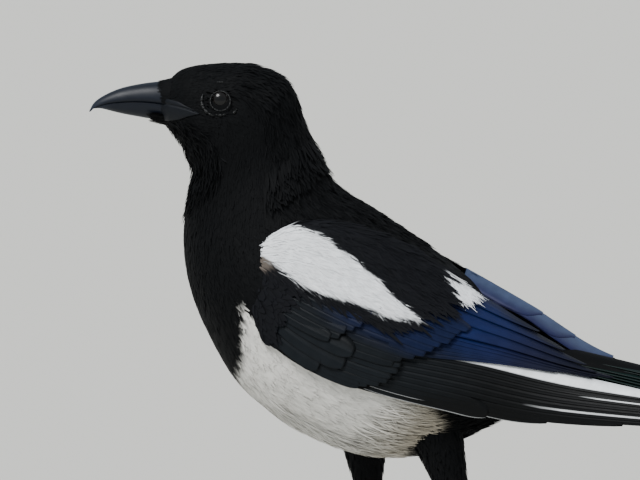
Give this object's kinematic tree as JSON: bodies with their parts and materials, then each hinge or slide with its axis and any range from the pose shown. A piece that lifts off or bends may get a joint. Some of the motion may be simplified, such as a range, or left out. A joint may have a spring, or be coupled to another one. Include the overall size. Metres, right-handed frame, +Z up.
{
  "type": "eurasian magpie",
  "caption": "Life-size standing magpie with folded wings, a long graduated tail and its head turned to its left, resting on its toes.",
  "frame": {"origin": "floor level, under the middle of the bird's bounding box", "axes": "+X from the bill towards the tail tip, -Y to the bird's left side, +Z up"},
  "size_m": [0.409, 0.0826, 0.2215],
  "materials": {
    "black_feathers": "soft black plumage with a faint sheen",
    "white_feathers": "soft white plumage",
    "wing_feathers": "blue and green gloss on dark vanes, with white shoulder and inner webs",
    "tail_feathers": "green and bronze gloss on black vanes",
    "bill": "half-gloss blue-black horn",
    "eyes": "wet dark brown",
    "leg_scales": "dull black scales",
    "claws": "half-gloss black horn"
  },
  "bodies": {
    "root": {"bill_lower": "bill", "bill_upper": "bill", "claw_left_hind": "claws", "claw_left_inner": "claws", "claw_left_middle": "claws", "claw_left_outer": "claws", "claw_right_hind": "claws", "claw_right_inner": "claws", "claw_right_middle": "claws", "claw_right_outer": "claws", "eye_left": "eyes", "eye_right": "eyes", "foot_left": "leg_scales", "foot_right": "leg_scales", "head": "black_feathers", "neck": "black_feathers", "shank_left": "leg_scales", "shank_right": "leg_scales", "tail": "tail_feathers", "thigh_left": "black_feathers", "thigh_right": "black_feathers", "torso": "white_feathers", "wing_left": "wing_feathers", "wing_right": "wing_feathers"}
  },
  "joints": []
}
